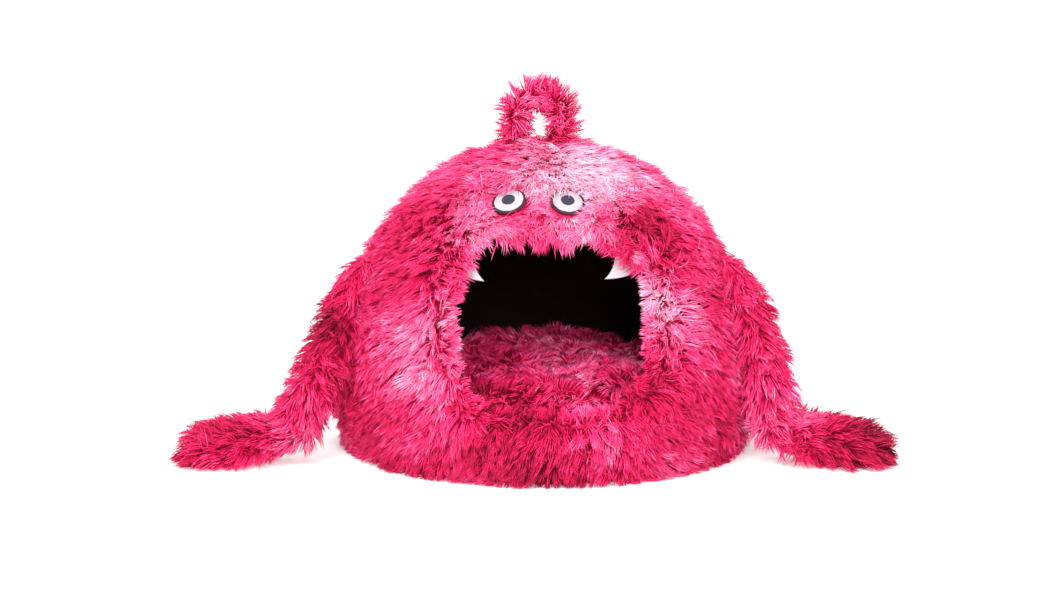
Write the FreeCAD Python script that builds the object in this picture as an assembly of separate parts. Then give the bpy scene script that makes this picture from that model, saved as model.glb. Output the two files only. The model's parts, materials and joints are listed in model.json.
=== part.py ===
import FreeCAD, Part
import math, os

# Plush monster cave: a soft dome with a mouth for a door, a loose cushion inside,
# felt eyes and fangs, a carrying loop on top and two limp arms sewn into the side seams.
# Millimetres, +Z up. The origin is on the floor, under the middle of the base.
# The mouth faces -Y, and +X is to the right of someone who looks at the mouth.

V = FreeCAD.Vector

# dome: every layer is a spheroid about the same centre, given as an offset from the fabric
dome_radius = 192.0
dome_rise = 220.0
dome_centre_height = 70.0
pile_depth = 12.0            # plush pile as it lies when pressed
backing_depth = 2.0
foam_depth = 13.7
lining_depth = 1.7
seam_gap = 0.3
wall_foot = 2.0              # the walls start just above the base cloth

# mouth: a rounded rectangle cut through the front wall
mouth_x = 4.0
mouth_half_width = 93.0
mouth_low = 66.0
mouth_high = 232.0
mouth_corner = 60.0
binding_depth = 3.0
binding_lap = 1.0             # it laps over the fabric's edge, below the pile

# brow: the wall above the mouth, pressed down about a line across the crown
brow_half_width = 90.0
brow_low = 187.5
brow_travel = 37.0            # how far its lower corners may come down
brow_hinge_y = -60.0
brow_press = 15.0            # degrees
side_play = 0.8

# lower lip: the doorstep under the mouth, folded outwards about its bottom edge
lip_half_width = 60.0
lip_foot = 6.0

# panel seams
crown_height = 262.0
side_seam_y = -30.0

# base and cushion
base_radius = 181.0
base_cloth = 1.5
base_foam_top = 18.0
cushion_radius = 163.0
cushion_foot = 20.6
cushion_top = 72.0
cushion_pile = 9.0

# felt eyes, on the brow
eye_places = {"left": -35.0, "right": 19.5}
eye_height = 254.0
eye_discs = [("outline", 16.5, 1.2), ("white", 14.2, 0.9), ("pupil", 6.4, 0.9)]
eye_seat = 3.6                # above the fabric, down in the pile
eye_pocket = 17.3

# felt fangs: corner at the top, corner below and free tip, as x and z; a tab behind the first
# two corners is sewn to the mouth's binding
fang_corners = {
    "left": [(-70.5, 207.0), (-79.5, 191.5), (-58.5, 188.5)],
    "right": [(64.5, 208.0), (77.5, 192.0), (54.0, 191.0)],
}
fang_depth = 2.5

# carrying loop
loop_x = -7.0
loop_arch = 21.0
loop_tube = 9.0
loop_core = 3.5
loop_hinge_height = 312.4
loop_leg = 13.6

# arms, given for the right side: x, y, z of the middle of the sleeve and its radius
shoulder_azimuth = 18.0
shoulder_height = 180.0
tab_radius = 13.0
tab_depth = 2.0
shoulder_ball = 15.0
sleeve_skin = 6.0
arm_line = {
    "right": [(195, -69, 162, 14.0), (204, -82, 120, 15.0), (214, -92, 76, 16.5)],
    "left": [(195, -69, 162, 14.0), (206, -82, 120, 15.5), (224, -92, 76, 17.0)],
}
wrist = {"right": (225.0, -98.0, 36.0), "left": (244.0, -97.0, 36.0)}
wrist_ball = 15.0
wrist_play = 4.0
stuffing_width = 9.0
hand_turn = 0.04              # the hand points a little forwards
# along the hand: distance from the wrist, middle height, half depth, half height
hand_sections = [(-14.3, 36.0, 4.2, 4.0), (-10.5, 36.0, 10.8, 10.6), (0, 35.0, 15.2, 14.6),
                 (14, 30.5, 17.0, 14.4), (33, 22.5, 23.0, 17.0), (54, 18.8, 27.0, 18.0),
                 (76, 16.6, 26.0, 15.8), (94, 12.6, 19.0, 11.6), (104, 9.5, 8.0, 5.5)]

far = 400.0


def spheroid_arc(offset, low):
    rise = dome_rise + offset
    centre = V(0, 0, dome_centre_height)
    ellipse = Part.Ellipse(centre + V(0, 0, rise), centre + V(dome_radius + offset, 0, 0), centre)
    end = math.acos((low - dome_centre_height) / rise)
    return Part.ArcOfEllipse(ellipse, 0, end).toShape()


def ring_at(offset, height):
    """Radius of the layer at this offset, at this height."""
    rise = (height - dome_centre_height) / (dome_rise + offset)
    return (dome_radius + offset) * math.sqrt(1 - rise * rise)


def revolve(edges):
    face = Part.Face(Part.Wire(Part.__sortEdges__(edges)))
    return face.revolve(V(0, 0, 0), V(0, 0, 1), 360)


def line(start, end):
    return Part.makeLine(V(start[0], 0, start[1]), V(end[0], 0, end[1]))


def dome_layer(outer, inner, low=wall_foot):
    tops = [dome_centre_height + dome_rise + offset for offset in (outer, inner)]
    feet = [ring_at(offset, low) for offset in (outer, inner)]
    return revolve([spheroid_arc(outer, low), spheroid_arc(inner, low),
                    line((0, tops[0]), (0, tops[1])), line((feet[0], low), (feet[1], low))])


def block(low, high):
    size = V(*high) - V(*low)
    return Part.makeBox(size.x, size.y, size.z, V(*low))


def mouth_prism(grow):
    half = mouth_half_width + grow
    low, high, corner = mouth_low - grow, mouth_high + grow, mouth_corner + grow
    prism = Part.makeBox(2 * half, far, high - low, V(mouth_x - half, -far, low))
    upright = [edge for edge in prism.Edges if abs(edge.tangentAt(edge.FirstParameter).y) > 0.9]
    return prism.makeFillet(corner, upright)


def brow_block(half_width, swing, step_back, low):
    """Space in front of a plane through the brow's hinge line, turned back by swing degrees."""
    slope = math.tan(math.radians(brow_tilt + swing))
    back = brow_hinge_y + step_back
    foot = back + slope * (brow_hinge_height - low)
    corners = [(-far, low), (-far, far), (back, far), (back, brow_hinge_height), (foot, low)]
    points = [V(mouth_x - half_width, y, z) for y, z in corners]
    face = Part.Face(Part.makePolygon(points + points[:1]))
    return face.extrude(V(2 * half_width, 0, 0))


# the brow's hinge line lies on the outside of the pile, and its cut follows the wall's normal
hinge_reach = brow_hinge_y / (dome_radius + pile_depth)
brow_hinge_height = (dome_centre_height
                     + (dome_rise + pile_depth) * math.sqrt(1 - hinge_reach * hinge_reach))
brow_tilt = math.degrees(math.atan2(-brow_hinge_y / dome_radius ** 2,
                                    (brow_hinge_height - dome_centre_height) / dome_rise ** 2))
outer_face = pile_depth
foam_face = -backing_depth - seam_gap
lining_face = foam_face - foam_depth - seam_gap
inner_face = lining_face - lining_depth

brow_region = brow_block(brow_half_width - side_play, 0, 0, brow_low)
brow_space = brow_block(brow_half_width + side_play, brow_press + 1.5, 1.0, brow_low - brow_travel)
lip_region = block((mouth_x - lip_half_width + side_play, -far, lip_foot),
                   (mouth_x + lip_half_width - side_play, -100, 110))
lip_space = block((mouth_x - lip_half_width - side_play, -far, -1),
                  (mouth_x + lip_half_width + side_play, -100, 110))


def save(name, shape):
    if len(shape.Solids) == 1:
        shape = shape.Solids[0]
    if not shape.isValid() or not shape.Solids:
        print("CHECK", name, "valid", shape.isValid(), "solids", len(shape.Solids))
    shape.exportStep("parts/" + name + ".step")
    print(name, len(shape.Solids), round(shape.Volume / 1000, 1), "cm3")


def wall_panels(layer):
    """The front wall's two moving panels, and all the rest of the wall."""
    open_layer = layer.cut(mouth_prism(seam_gap))
    rest = open_layer.cut(brow_space).cut(lip_space)
    return open_layer.common(brow_region), open_layer.common(lip_region), rest


def fixed_panels(rest):
    half = seam_gap / 2
    under_crown = crown_height - half
    return {
        "crown": rest.common(block((-far, -far, crown_height + half), (far, far, far))),
        "cheek_left": rest.common(block((-far, -far, -1), (mouth_x, side_seam_y - half, under_crown))),
        "cheek_right": rest.common(block((mouth_x, -far, -1), (far, side_seam_y - half, under_crown))),
        "back_left": rest.common(block((-far, side_seam_y + half, -1), (-half, far, under_crown))),
        "back_right": rest.common(block((half, side_seam_y + half, -1), (far, far, under_crown))),
    }


def make_walls():
    for layer_name, outer, inner in (("cover", outer_face, -backing_depth),
                                     ("foam", foam_face, foam_face - foam_depth)):
        brow, lip, rest = wall_panels(dome_layer(outer, inner))
        if layer_name == "cover":
            brow = brow.cut(eye_pockets())
        save("brow_" + layer_name, brow)
        save("lip_" + layer_name, lip)
        for panel_name, panel in fixed_panels(rest).items():
            save(panel_name + "_" + layer_name, panel)
    brow, lip, rest = wall_panels(dome_layer(lining_face, inner_face))
    save("brow_lining", brow)
    save("lip_lining", lip)
    save("hood_lining", rest)


def make_binding():
    tape = dome_layer(binding_lap, inner_face).common(mouth_prism(0)).cut(mouth_prism(-binding_depth))
    save("brow_binding", tape.common(brow_region))
    save("lip_binding", tape.common(lip_region))
    sides = tape.cut(brow_space).cut(lip_space)
    save("cheek_left_binding", sides.common(block((-far, -far, 0), (mouth_x, 0, far))))
    save("cheek_right_binding", sides.common(block((mouth_x, -far, 0), (far, 0, far))))


def disc(radius, low, high):
    return Part.makeCylinder(radius, high - low, V(0, 0, low))


def make_base():
    save("base_cloth", disc(base_radius, 0, base_cloth))
    foam_low = base_cloth + seam_gap
    save("base_foam", disc(ring_at(inner_face, foam_low) - 2, foam_low, base_foam_top))
    lining_low = base_foam_top + seam_gap
    save("floor_lining", disc(ring_at(inner_face, lining_low) - 2, lining_low, lining_low + lining_depth))


def pillow(radius, low, high):
    """A round pillow with full sides and a slightly crowned top."""
    middle = low + 0.42 * (high - low)
    shoulder = high - 0.16 * (high - low)
    side_low = Part.Arc(V(radius - 14, 0, low), V(radius - 4, 0, low + 0.3 * (middle - low)),
                        V(radius, 0, middle)).toShape()
    side_high = Part.Arc(V(radius, 0, middle), V(radius - 7, 0, middle + 0.66 * (shoulder - middle)),
                         V(radius - 30, 0, shoulder)).toShape()
    edge, halfway = radius - 30, 0.5 * radius
    cap_radius = (edge ** 2 + (high - shoulder) ** 2) / (2 * (high - shoulder))
    cap_height = high - cap_radius + math.sqrt(cap_radius ** 2 - halfway ** 2)
    crown = Part.Arc(V(edge, 0, shoulder), V(halfway, 0, cap_height), V(0, 0, high)).toShape()
    return revolve([side_low, side_high, crown, line((0, high), (0, low)),
                    line((0, low), (radius - 14, low))])


def make_cushion():
    cloth_top = cushion_foot + base_cloth
    foot = cloth_top + seam_gap
    save("cushion_underside", disc(cushion_radius - 12, cushion_foot, cloth_top))
    inner = pillow(cushion_radius - cushion_pile, foot, cushion_top - cushion_pile)
    floor_hole = disc(cushion_radius - 2 * cushion_pile - 8, foot - 1, foot + 10)
    save("cushion_cover", pillow(cushion_radius, foot, cushion_top).cut(inner).cut(floor_hole))
    save("cushion_filling", pillow(cushion_radius - cushion_pile - seam_gap, foot + seam_gap,
                                   cushion_top - cushion_pile - seam_gap))


def on_dome(x, y, z, offset):
    """The place on a layer nearest the line out through x, y, z, and the layer's normal there."""
    normal = V(x / dome_radius ** 2, y / dome_radius ** 2, (z - dome_centre_height) / dome_rise ** 2)
    normal.normalize()
    a, c = dome_radius + offset, dome_rise + offset
    start = V(x, y, z - dome_centre_height)
    weight = V(1 / a, 1 / a, 1 / c)
    p = V(start.x * weight.x, start.y * weight.y, start.z * weight.z)
    q = V(normal.x * weight.x, normal.y * weight.y, normal.z * weight.z)
    half_b, span = p.dot(q), q.dot(q)
    reach = (-half_b + math.sqrt(half_b ** 2 - span * (p.dot(p) - 1))) / span
    return V(x, y, z) + normal * reach, normal


def eye_place(side):
    x = eye_places[side]
    return on_dome(x, -math.sqrt(ring_at(0, eye_height) ** 2 - x ** 2), eye_height, eye_seat)


def eye_pockets():
    """The pile is pressed flat under each eye."""
    pockets = []
    for side in eye_places:
        place, normal = eye_place(side)
        pockets.append(Part.makeCylinder(eye_pocket, pile_depth + 5, place - normal * seam_gap, normal))
    return Part.makeCompound(pockets)


def make_eyes():
    for side in eye_places:
        place, normal = eye_place(side)
        lift = 0.0
        for name, radius, depth in eye_discs:
            felt = Part.makeCylinder(radius, depth, place + normal * lift, normal)
            rims = [edge for edge in felt.Edges if abs(edge.Length - 2 * math.pi * radius) < 0.01]
            save("eye_" + side + "_" + name, felt.makeFillet(0.3, rims[:1]))
            lift += depth + 0.1


def front_of_dome(x, z):
    return V(x, -math.sqrt(ring_at(0, z) ** 2 - x ** 2), z)


def to_binding(corner, across, side):
    """Where a line from a fang's corner, going across, comes near the binding in the mouth's corner."""
    away = 1 if side == "right" else -1
    centre = V(mouth_x + away * (mouth_half_width - mouth_corner), 0, mouth_high - mouth_corner)
    radius = mouth_corner - binding_depth - seam_gap - fang_depth / 2
    start = corner - centre
    along = start.dot(across)
    reach = math.sqrt(along ** 2 + radius ** 2 - start.dot(start)) - along
    place = corner + across * reach
    return front_of_dome(place.x, place.z)


def fang_places(side):
    """The sewn edge's two ends and the three visible corners, all in the plane of the felt."""
    top, foot, tip = [V(x, 0, z) for x, z in fang_corners[side]]
    across = (foot - top).cross(V(0, 1, 0) if side == "right" else V(0, -1, 0))
    across.normalize()
    sewn = [to_binding(corner, across, side) for corner in (top, foot)]
    free = front_of_dome(tip.x, tip.z)
    inward = (sewn[1] - sewn[0]).cross(free - sewn[0])
    inward = inward * (1 if inward.y > 0 else -1)
    inward.normalize()
    flat = [V(point.x, free.y - (inward.x * (point.x - free.x) + inward.z * (point.z - free.z)) / inward.y,
              point.z) for point in (top, foot)]
    return sewn, flat + [free], inward


def make_fangs():
    for side in fang_corners:
        (root_top, root_foot), (top, foot, tip), inward = fang_places(side)
        # the inner edge is hollow and the lower edge is full, as on a curved tooth
        inner_edge, lower_edge = (tip + top) * 0.5, (foot + tip) * 0.5
        hollow = inner_edge + (lower_edge - inner_edge) * 0.22
        full = lower_edge + (lower_edge - inner_edge) * 0.12
        edges = [Part.makeLine(root_top, root_foot), Part.makeLine(root_foot, foot),
                 Part.Arc(foot, full, tip).toShape(), Part.Arc(tip, hollow, top).toShape(),
                 Part.makeLine(top, root_top)]
        plate = Part.Face(Part.Wire(edges)).extrude(inward * fang_depth)
        plate.translate(inward * (-fang_depth / 2))
        along = root_foot - root_top
        root = Part.makeCylinder(fang_depth / 2, along.Length, root_top, along)
        save("fang_" + side, plate.fuse(root).removeSplitter())


def loop_form(tube):
    arch_centre = loop_hinge_height + loop_leg
    arch = Part.makeTorus(loop_arch, tube, V(0, 0, 0), V(0, 0, 1), -180, 180, 180)
    arch.rotate(V(0, 0, 0), V(1, 0, 0), 90)
    arch.translate(V(loop_x, 0, arch_centre))
    form = arch
    for side in (-1, 1):
        foot = V(loop_x + side * loop_arch, 0, loop_hinge_height)
        form = form.fuse(Part.makeCylinder(tube, loop_leg, foot)).fuse(Part.makeSphere(tube, foot))
    return form.removeSplitter()


def make_loop():
    save("loop_sleeve", loop_form(loop_tube).cut(loop_form(loop_core + seam_gap)))
    save("loop_core", loop_form(loop_core))


def shoulder_place():
    turn = math.radians(shoulder_azimuth)
    ring = ring_at(0, shoulder_height)
    return on_dome(ring * math.cos(turn), -ring * math.sin(turn), shoulder_height, pile_depth)


def loft_through(stations, shrink):
    """A smooth sleeve through round sections square to the line that they are strung on."""
    points = [V(*station[:3]) for station in stations]
    curve = Part.BSplineCurve()
    curve.interpolate(points)
    wires = []
    for point, station in zip(points, stations):
        along = V(curve.tangent(curve.parameter(point))[0])
        wires.append(Part.Wire(Part.Circle(point, along, station[3] - shrink).toShape()))
    return Part.makeLoft(wires, True, False)


def arm_form(side, shrink):
    place, normal = shoulder_place()
    ball = place + normal * (seam_gap + tab_depth + seam_gap + shoulder_ball)
    last = arm_line[side][-1]
    low = V(*wrist[side])
    reach = low - V(*last[:3])
    end = low - reach * ((wrist_ball + wrist_play) / reach.Length)
    stations = [(ball.x, ball.y, ball.z, 13.0)] + arm_line[side] + [(end.x, end.y, end.z, 13.5)]
    form = loft_through(stations, shrink).fuse(Part.makeSphere(shoulder_ball - shrink, ball))
    if shrink:
        form = form.cut(Part.makeSphere(wrist_ball + wrist_play + shrink, low))
    return form


def ellipse_wire(x, y, z, half_depth, half_height):
    ellipse = Part.Ellipse(V(x, y + half_depth, z), V(x, y, z + half_height), V(x, y, z))
    return Part.Wire(ellipse.toShape())


def hand_form(side, shrink):
    x, y, z = wrist[side]
    wires = [ellipse_wire(x + reach, y - hand_turn * reach, middle, half_depth - shrink, half_height - shrink)
             for reach, middle, half_depth, half_height in hand_sections if half_height - shrink > 1.5]
    return Part.makeLoft(wires, True, False)


def stuffing_hole(side):
    """The hole at the wrist that the filling goes in by, along the sleeve."""
    low = V(*wrist[side])
    return Part.makeCylinder(stuffing_width / 2, 2 * wrist_ball, low, V(*arm_line[side][-1][:3]) - low)


def make_arm(side):
    place, normal = shoulder_place()
    tab = Part.makeCylinder(tab_radius, tab_depth, place + normal * seam_gap, normal)
    hole = stuffing_hole(side)
    pieces = {
        "shoulder_tab": tab,
        "arm_sleeve": arm_form(side, 0).cut(arm_form(side, sleeve_skin)).cut(hole),
        "arm_filling": arm_form(side, sleeve_skin + seam_gap),
        "hand_sleeve": hand_form(side, 0).cut(hand_form(side, sleeve_skin - 1)).cut(hole),
        "hand_filling": hand_form(side, sleeve_skin - 1 + seam_gap),
    }
    for name, shape in pieces.items():
        if side == "left":
            shape = shape.mirror(V(0, 0, 0), V(1, 0, 0))
        save(name + "_" + side, shape)


def print_joints():
    place, normal = shoulder_place()
    ball = place + normal * (seam_gap + tab_depth + seam_gap + shoulder_ball)
    print("brow hinge", brow_hinge_y, round(brow_hinge_height, 2))
    print("shoulder ball", *[round(v, 2) for v in ball])
    print("shoulder normal", *[round(v, 4) for v in normal])
    print("lip hinge", round(-ring_at(outer_face, lip_foot), 2), lip_foot)
    for side in fang_corners:
        (top, foot), _, _ = fang_places(side)
        print("fang", side, *[round(v, 2) for v in [*((top + foot) * 0.5), *(foot - top)]])


os.makedirs("parts", exist_ok=True)
make_walls()
make_binding()
make_base()
make_cushion()
make_eyes()
make_fangs()
make_loop()
make_arm("right")
make_arm("left")
print_joints()
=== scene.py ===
import bpy
import json
import math
import numpy as np
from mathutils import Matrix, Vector, kdtree


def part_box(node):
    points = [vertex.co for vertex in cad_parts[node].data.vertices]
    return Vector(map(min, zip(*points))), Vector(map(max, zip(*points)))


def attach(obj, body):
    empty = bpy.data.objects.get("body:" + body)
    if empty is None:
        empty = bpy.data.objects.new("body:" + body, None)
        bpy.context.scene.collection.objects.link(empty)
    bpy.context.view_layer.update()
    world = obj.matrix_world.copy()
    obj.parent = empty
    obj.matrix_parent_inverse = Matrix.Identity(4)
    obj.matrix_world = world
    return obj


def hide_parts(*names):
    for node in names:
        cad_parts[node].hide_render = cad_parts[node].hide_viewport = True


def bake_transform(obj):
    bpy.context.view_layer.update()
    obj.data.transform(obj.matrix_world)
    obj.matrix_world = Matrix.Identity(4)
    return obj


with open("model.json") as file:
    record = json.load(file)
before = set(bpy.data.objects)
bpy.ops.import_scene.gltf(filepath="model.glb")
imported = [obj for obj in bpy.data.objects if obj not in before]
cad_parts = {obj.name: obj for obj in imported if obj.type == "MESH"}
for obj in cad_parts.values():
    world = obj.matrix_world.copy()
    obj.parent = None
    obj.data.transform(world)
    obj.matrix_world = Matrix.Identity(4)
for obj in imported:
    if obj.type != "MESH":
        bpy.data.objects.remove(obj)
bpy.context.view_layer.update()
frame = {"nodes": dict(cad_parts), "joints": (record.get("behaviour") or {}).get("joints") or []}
nodes = frame["nodes"]
joints = {joint["name"]: joint for joint in frame["joints"]}
mm = 0.001


# small helpers

def clearSelection():
    if bpy.context.object and bpy.context.object.mode != "OBJECT":
        bpy.ops.object.mode_set(mode="OBJECT")
    bpy.ops.object.select_all(action="DESELECT")


def makeActive(obj):
    clearSelection()
    obj.select_set(True)
    bpy.context.view_layer.objects.active = obj


def newPiece(name):
    obj = bpy.context.object
    obj.name = obj.data.name = name
    bpy.ops.object.transform_apply(location=True, rotation=True, scale=True)
    return obj


def copyPiece(source, name):
    obj = bpy.data.objects.new(name, source.data.copy())
    obj.data.name = name
    bpy.context.scene.collection.objects.link(obj)
    return obj


def mergePoints(obj, distance=0.02 * mm):
    makeActive(obj)
    bpy.ops.object.mode_set(mode="EDIT")
    bpy.ops.mesh.select_all(action="SELECT")
    bpy.ops.mesh.remove_doubles(threshold=distance)
    bpy.ops.object.mode_set(mode="OBJECT")


def joinPieces(pieces, name):
    clearSelection()
    for piece in pieces:
        piece.select_set(True)
    bpy.context.view_layer.objects.active = pieces[0]
    bpy.ops.object.join()
    pieces[0].name = pieces[0].data.name = name
    return pieces[0]


def modify(obj, kind, **settings):
    makeActive(obj)
    modifier = obj.modifiers.new(kind.lower(), kind)
    for key, value in settings.items():
        setattr(modifier, key, value)
    bpy.ops.object.modifier_apply(modifier=modifier.name)


def bisectAt(obj, point, normal, dropAbove=False, fill=False):
    makeActive(obj)
    bpy.ops.object.mode_set(mode="EDIT")
    bpy.ops.mesh.select_all(action="SELECT")
    bpy.ops.mesh.bisect(plane_co=point, plane_no=normal, clear_outer=dropAbove, use_fill=fill)
    bpy.ops.object.mode_set(mode="OBJECT")


def faceCentres(obj):
    centres = np.empty(len(obj.data.polygons) * 3)
    obj.data.polygons.foreach_get("center", centres)
    return centres.reshape(-1, 3)


def dropFaces(obj, doomed):
    makeActive(obj)
    bpy.ops.object.mode_set(mode="EDIT")
    bpy.ops.mesh.select_mode(type="FACE")
    bpy.ops.mesh.select_all(action="DESELECT")
    bpy.ops.object.mode_set(mode="OBJECT")
    obj.data.polygons.foreach_set("select", doomed)
    bpy.ops.object.mode_set(mode="EDIT")
    bpy.ops.mesh.delete(type="FACE")
    bpy.ops.object.mode_set(mode="OBJECT")


def readPoints(obj):
    points = np.empty(len(obj.data.vertices) * 3)
    obj.data.vertices.foreach_get("co", points)
    return points.reshape(-1, 3)


def writePoints(obj, points):
    obj.data.vertices.foreach_set("co", points.ravel())
    obj.data.update()


def readNormals(obj):
    normals = np.empty(len(obj.data.vertices) * 3)
    obj.data.vertices.foreach_get("normal", normals)
    return normals.reshape(-1, 3)


def smoothShade(obj, angle=None):
    makeActive(obj)
    if angle is None:
        bpy.ops.object.shade_smooth()
    else:
        bpy.ops.object.shade_smooth_by_angle(angle=math.radians(angle))


def unit(vectors):
    return vectors / np.maximum(np.linalg.norm(vectors, axis=1, keepdims=True), 1e-9)


def ease(low, high, values):
    t = np.clip((values - low) / (high - low), 0, 1)
    return t * t * (3 - 2 * t)


def softNoise(points, size, seed, waves=9):
    # a few plane waves of about one size: smooth, the same each run, about -1 to 1
    draw = np.random.default_rng(seed)
    ways = unit(draw.normal(size=(waves, 3))) * draw.uniform(0.7, 1.5, (waves, 1)) * 2 * math.pi / size
    phases = draw.uniform(0, 2 * math.pi, waves)
    return np.sin(points @ ways.T + phases).mean(axis=1) * 2.2


# colours and materials

def linear(red, green, blue):
    def one(value):
        value /= 255
        return value / 12.92 if value <= 0.04045 else ((value + 0.055) / 1.055) ** 2.4
    return (one(red), one(green), one(blue), 1.0)


def newMaterial(name, colour, roughness=0.8, sheen=0.0, sheenTint=(1, 1, 1, 1), specular=0.5):
    material = bpy.data.materials.new(name)
    material.use_nodes = True
    shader = material.node_tree.nodes["Principled BSDF"]
    shader.inputs["Base Color"].default_value = colour
    shader.inputs["Roughness"].default_value = roughness
    shader.inputs["Sheen Weight"].default_value = sheen
    shader.inputs["Sheen Tint"].default_value = sheenTint
    shader.inputs["Specular IOR Level"].default_value = specular
    return material


def newGroup(name, inputs, outputs):
    group = bpy.data.node_groups.new(name, "ShaderNodeTree")
    for title, kind, value in inputs:
        socket = group.interface.new_socket(title, in_out="INPUT", socket_type=kind)
        socket.default_value = value
    for title, kind in outputs:
        group.interface.new_socket(title, in_out="OUTPUT", socket_type=kind)
    return group, group.nodes.new("NodeGroupInput"), group.nodes.new("NodeGroupOutput")


def addNode(tree, kind, **settings):
    node = tree.nodes.new(kind)
    for key, value in settings.items():
        setattr(node, key, value)
    return node


def fibreGroup():
    # matted fibres: long blotches under a fine fuzz, for felt, tape and knit
    group, given, out = newGroup(
        "fibreMat",
        [("Vector", "NodeSocketVector", (0, 0, 0)), ("Dark", "NodeSocketColor", (0, 0, 0, 1)),
         ("Light", "NodeSocketColor", (1, 1, 1, 1)), ("Blotch Scale", "NodeSocketFloat", 40.0),
         ("Fuzz Scale", "NodeSocketFloat", 900.0)],
        [("Color", "NodeSocketColor"), ("Height", "NodeSocketFloat")])
    blotch = addNode(group, "ShaderNodeTexNoise")
    blotch.inputs["Detail"].default_value = 3
    fuzz = addNode(group, "ShaderNodeTexNoise")
    fuzz.inputs["Detail"].default_value = 6
    fuzz.inputs["Roughness"].default_value = 0.7
    fuzz.inputs["Distortion"].default_value = 1.5
    both = addNode(group, "ShaderNodeMix", data_type="FLOAT")
    both.inputs["Factor"].default_value = 0.55
    blend = addNode(group, "ShaderNodeMix", data_type="RGBA")
    link = group.links.new
    for texture, scale in ((blotch, "Blotch Scale"), (fuzz, "Fuzz Scale")):
        link(given.outputs["Vector"], texture.inputs["Vector"])
        link(given.outputs[scale], texture.inputs["Scale"])
    link(blotch.outputs["Fac"], both.inputs[2])
    link(fuzz.outputs["Fac"], both.inputs[3])
    link(both.outputs[0], blend.inputs["Factor"])
    link(given.outputs["Dark"], blend.inputs[6])
    link(given.outputs["Light"], blend.inputs[7])
    link(blend.outputs[2], out.inputs["Color"])
    link(fuzz.outputs["Fac"], out.inputs["Height"])
    return group


fibreMat = fibreGroup()


def fibreMaterial(name, dark, light, roughness, blotch=40, fuzz=900, bump=0.3, depth=0.0006,
                  sheen=0.3, rows=None):
    material = newMaterial(name, light, roughness, sheen, light, 0.25)
    tree = material.node_tree
    place = addNode(tree, "ShaderNodeTexCoord")
    mat = addNode(tree, "ShaderNodeGroup", node_tree=fibreMat)
    mat.inputs["Dark"].default_value = dark
    mat.inputs["Light"].default_value = light
    mat.inputs["Blotch Scale"].default_value = blotch
    mat.inputs["Fuzz Scale"].default_value = fuzz
    relief = addNode(tree, "ShaderNodeBump")
    relief.inputs["Strength"].default_value = bump
    relief.inputs["Distance"].default_value = depth
    shader = tree.nodes["Principled BSDF"]
    tree.links.new(place.outputs["Object"], mat.inputs["Vector"])
    tree.links.new(mat.outputs["Color"], shader.inputs["Base Color"])
    height = mat.outputs["Height"]
    if rows:
        wave = addNode(tree, "ShaderNodeTexWave", bands_direction=rows[0])
        wave.inputs["Scale"].default_value = rows[1]
        wave.inputs["Distortion"].default_value = 0.6
        total = addNode(tree, "ShaderNodeMath", operation="ADD")
        tree.links.new(place.outputs["Object"], wave.inputs["Vector"])
        tree.links.new(wave.outputs["Fac"], total.inputs[0])
        tree.links.new(height, total.inputs[1])
        height = total.outputs[0]
    tree.links.new(height, relief.inputs["Height"])
    tree.links.new(relief.outputs["Normal"], shader.inputs["Normal"])
    return material


# the pile's tone changes in drifts and spots: each hair takes one tone, darker at its root and paler at its tip
pileTones = [("pileWine", (132, 4, 46)), ("pileGarnet", (182, 8, 64)), ("pileCerise", (222, 18, 86)),
             ("pileRose", (240, 50, 120)), ("pileCandy", (250, 98, 156)), ("pileBlush", (253, 148, 190)),
             ("pileFrost", (255, 198, 220))]
pileMaterials = [newMaterial(name, linear(*colour), 0.6, 0.15, linear(*colour), 0.25)
                 for name, colour in pileTones]

materials = {
    "backing": fibreMaterial("plushBacking", linear(196, 12, 70), linear(234, 44, 106), 0.9, 60, 700),
    "lining": fibreMaterial("darkLining", linear(12, 3, 4), linear(34, 9, 12), 0.95, 30, 1200,
                            0.35, 0.0005, 0.15),
    "binding": fibreMaterial("darkBinding", linear(70, 6, 26), linear(120, 12, 46), 0.95, 60, 1500,
                             0.4, 0.0004, 0.0, ("DIAGONAL", 420)),
    "outline": fibreMaterial("plumFelt", linear(40, 24, 38), linear(70, 46, 64), 0.92, 90, 1300),
    "white": fibreMaterial("whiteFelt", linear(166, 160, 169), linear(188, 182, 190), 0.95, 90, 1300,
                           sheen=0.1),
    "pupil": fibreMaterial("slateFelt", linear(34, 38, 48), linear(58, 62, 78), 0.92, 90, 1300),
    "base": fibreMaterial("baseCloth", linear(24, 8, 14), linear(44, 18, 28), 0.85, 20, 900,
                          0.5, 0.0006, 0.1, ("X", 160)),
    "foam": fibreMaterial("openFoam", linear(214, 206, 180), linear(240, 234, 214), 0.95, 500, 1400,
                          0.8, 0.0008, 0.0),
    "wrap": fibreMaterial("foamWrap", linear(112, 8, 42), linear(168, 20, 72), 0.95, 60, 700, sheen=0.1),
    "filling": fibreMaterial("stuffing", linear(228, 228, 226), linear(250, 250, 250), 0.95, 120, 500),
    "tape": fibreMaterial("pinkTape", linear(168, 16, 60), linear(206, 36, 84), 0.85, 80, 1200,
                          0.4, 0.0004, 0.2, ("DIAGONAL", 420)),
}


def dress(obj, material):
    obj.data.materials.clear()
    obj.data.materials.append(materials[material])
    return obj


# the dome's cover: one surface, cut into the cover's panels

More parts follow.
